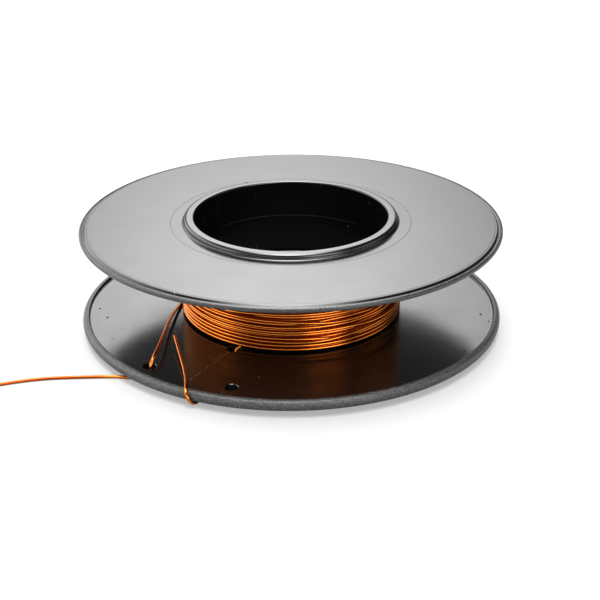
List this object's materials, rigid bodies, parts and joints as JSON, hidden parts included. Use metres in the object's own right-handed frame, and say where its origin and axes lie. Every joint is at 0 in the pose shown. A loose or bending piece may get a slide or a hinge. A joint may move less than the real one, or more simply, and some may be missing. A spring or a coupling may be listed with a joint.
{
  "type": "wire spool",
  "caption": "Flat plastic spool with round flanges and an open hub, wound with enamelled copper wire whose ends lead out through holes in the lower flange.",
  "frame": {"origin": "on the spool's axis, at the surface that its lower collar stands on", "axes": "+Z along the spool's axis from the lower flange, which has the wire holes, to the plain upper flange; the wire's long free end leaves the rim towards -X"},
  "size_m": [0.1022, 0.08, 0.0214],
  "materials": {
    "spool_plastic": "black injection-moulded plastic, glossy on the flats and finely textured along the rims",
    "enamelled_copper": "bright copper under clear amber enamel"
  },
  "bodies": {
    "root": {"lower_flange": "spool_plastic", "drum_tube": "spool_plastic", "upper_flange": "spool_plastic", "winding_inner_layer": "enamelled_copper", "winding_outer_layer": "enamelled_copper", "start_tail": "enamelled_copper", "finish_lead": "enamelled_copper", "finish_tail": "enamelled_copper"}
  },
  "joints": []
}
